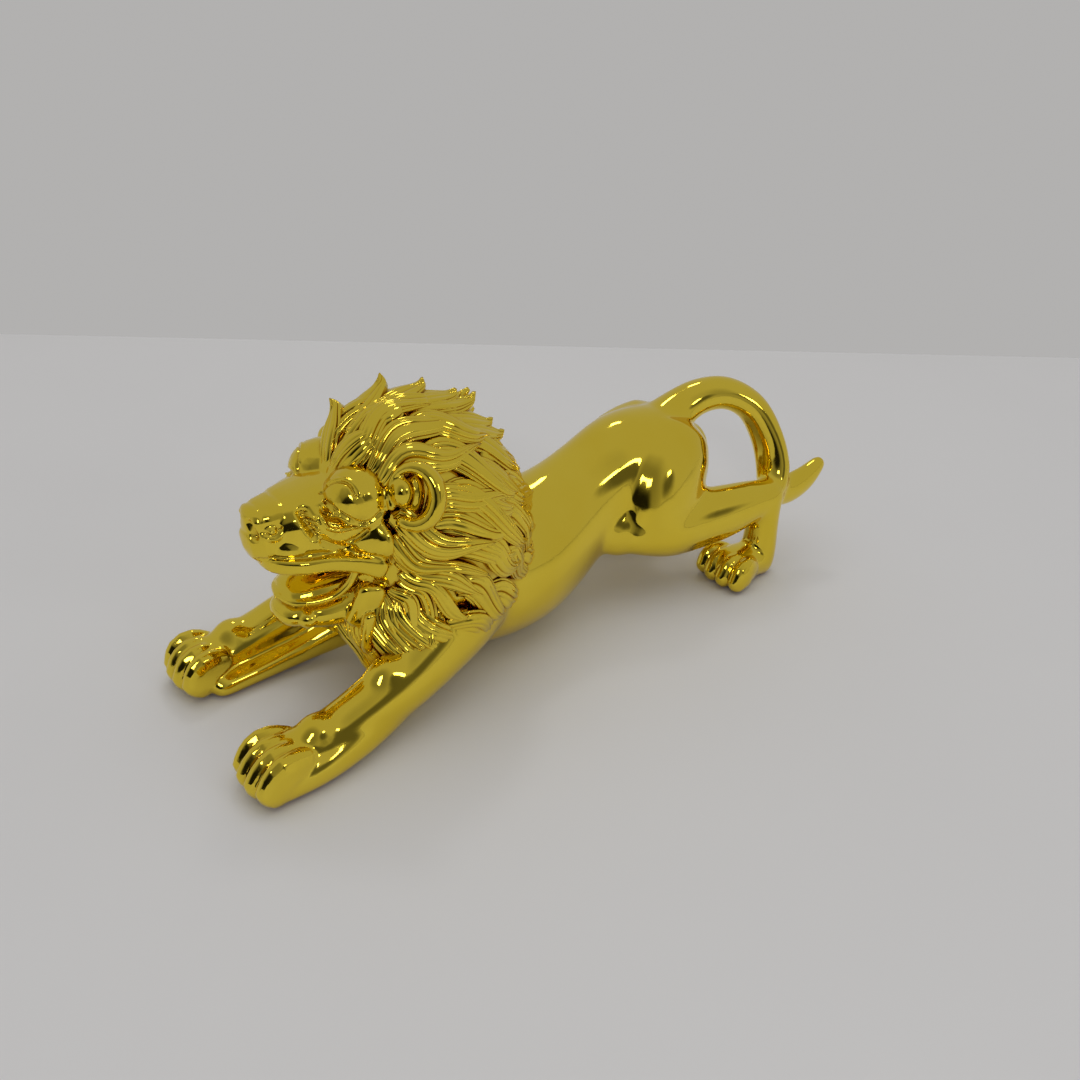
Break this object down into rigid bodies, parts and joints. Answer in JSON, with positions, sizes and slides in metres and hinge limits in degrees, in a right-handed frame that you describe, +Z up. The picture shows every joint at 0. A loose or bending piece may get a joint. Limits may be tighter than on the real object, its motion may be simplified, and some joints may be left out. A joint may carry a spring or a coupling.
{
  "type": "stretching lion figurine",
  "caption": "Small lion ornament stretching on its forelegs, mouth open and tail arched to one hock, in mirror gold, standing on its paws.",
  "frame": {"origin": "middle of the figure's box, on the floor that its paws stand on", "axes": "+Z up, the lion faces -Y with its tail at +Y, and its own left is +X"},
  "size_m": [0.0608, 0.185, 0.0769],
  "materials": {
    "gold": "mirror gold plating"
  },
  "bodies": {
    "root": {"lion": "gold"}
  },
  "joints": []
}
